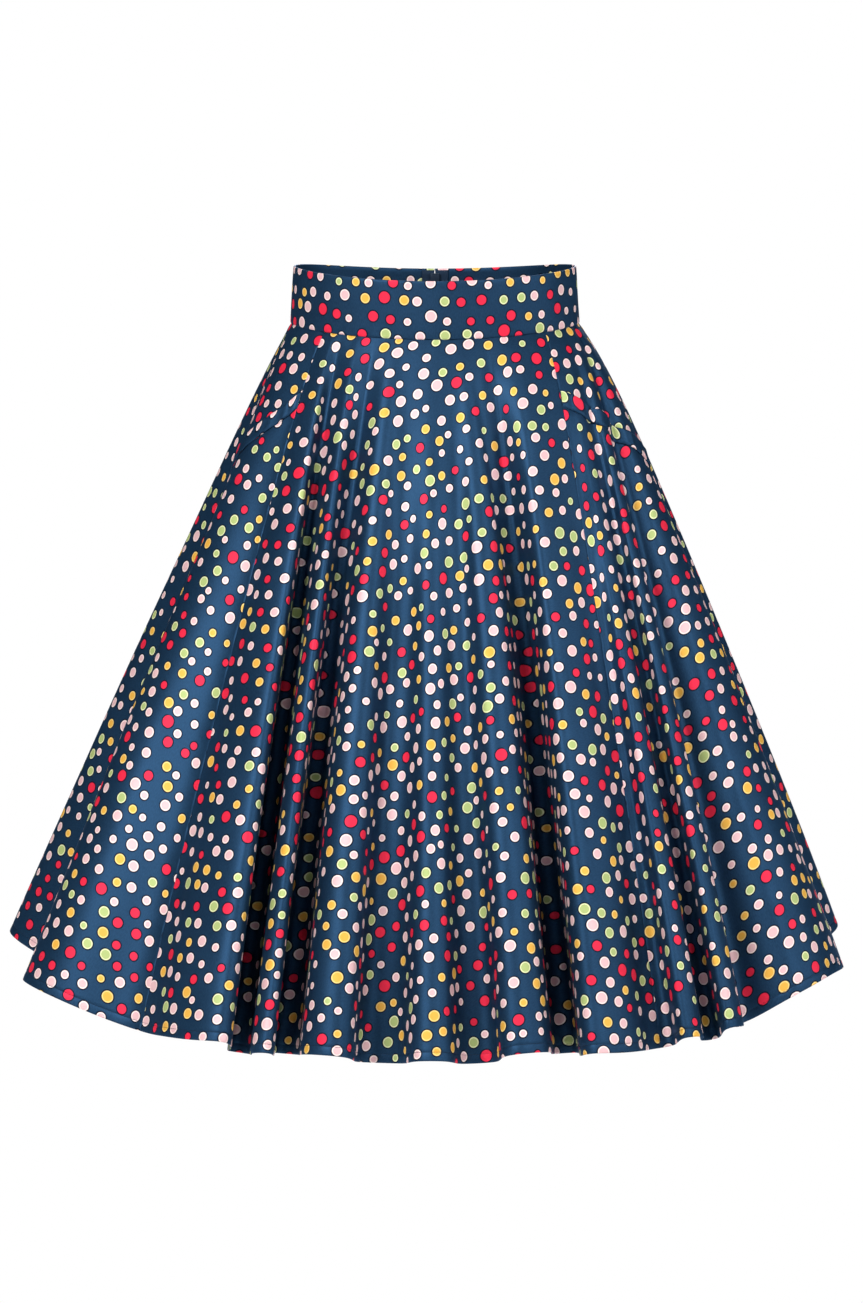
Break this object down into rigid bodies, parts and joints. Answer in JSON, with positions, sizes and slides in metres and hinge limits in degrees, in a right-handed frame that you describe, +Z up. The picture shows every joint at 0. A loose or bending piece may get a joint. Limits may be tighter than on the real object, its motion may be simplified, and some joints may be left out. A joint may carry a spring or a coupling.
{
  "type": "circle skirt",
  "caption": "High-waisted circle skirt, filled out as worn, with a wide waistband, fluted panels, slanted hip pockets with bands and a concealed back zip.",
  "frame": {"origin": "middle of the waist opening, level with the top edge of the waistband at the sides", "axes": "+Z up along the body, front of the skirt towards -Y, +X to the right of a viewer who faces the front"},
  "size_m": [0.7509, 0.6907, 0.6588],
  "materials": {
    "printed_sateen": "soft sateen sheen, printed with small dots",
    "zip_tape": "matt woven tape",
    "zip_metal": "satin lacquer"
  },
  "bodies": {
    "root": {"waistband": "printed_sateen", "front_centre": "printed_sateen", "side_front_left": "printed_sateen", "side_front_right": "printed_sateen", "hip_left": "printed_sateen", "hip_right": "printed_sateen", "pocket_band_left": "printed_sateen", "pocket_band_right": "printed_sateen", "back_left": "printed_sateen", "back_right": "printed_sateen", "zip_tape_left": "zip_tape", "zip_tape_right": "zip_tape", "zip_slider": "zip_metal"},
    "pull": {"zip_pull": "zip_metal"}
  },
  "joints": [
    {"name": "pull_hinge", "type": "hinge", "parent": "root", "child": "pull", "pos_m": [0, 0.09826, -0.0195], "axis": [1, 0, 0], "range_deg": [0, 170]}
  ]
}
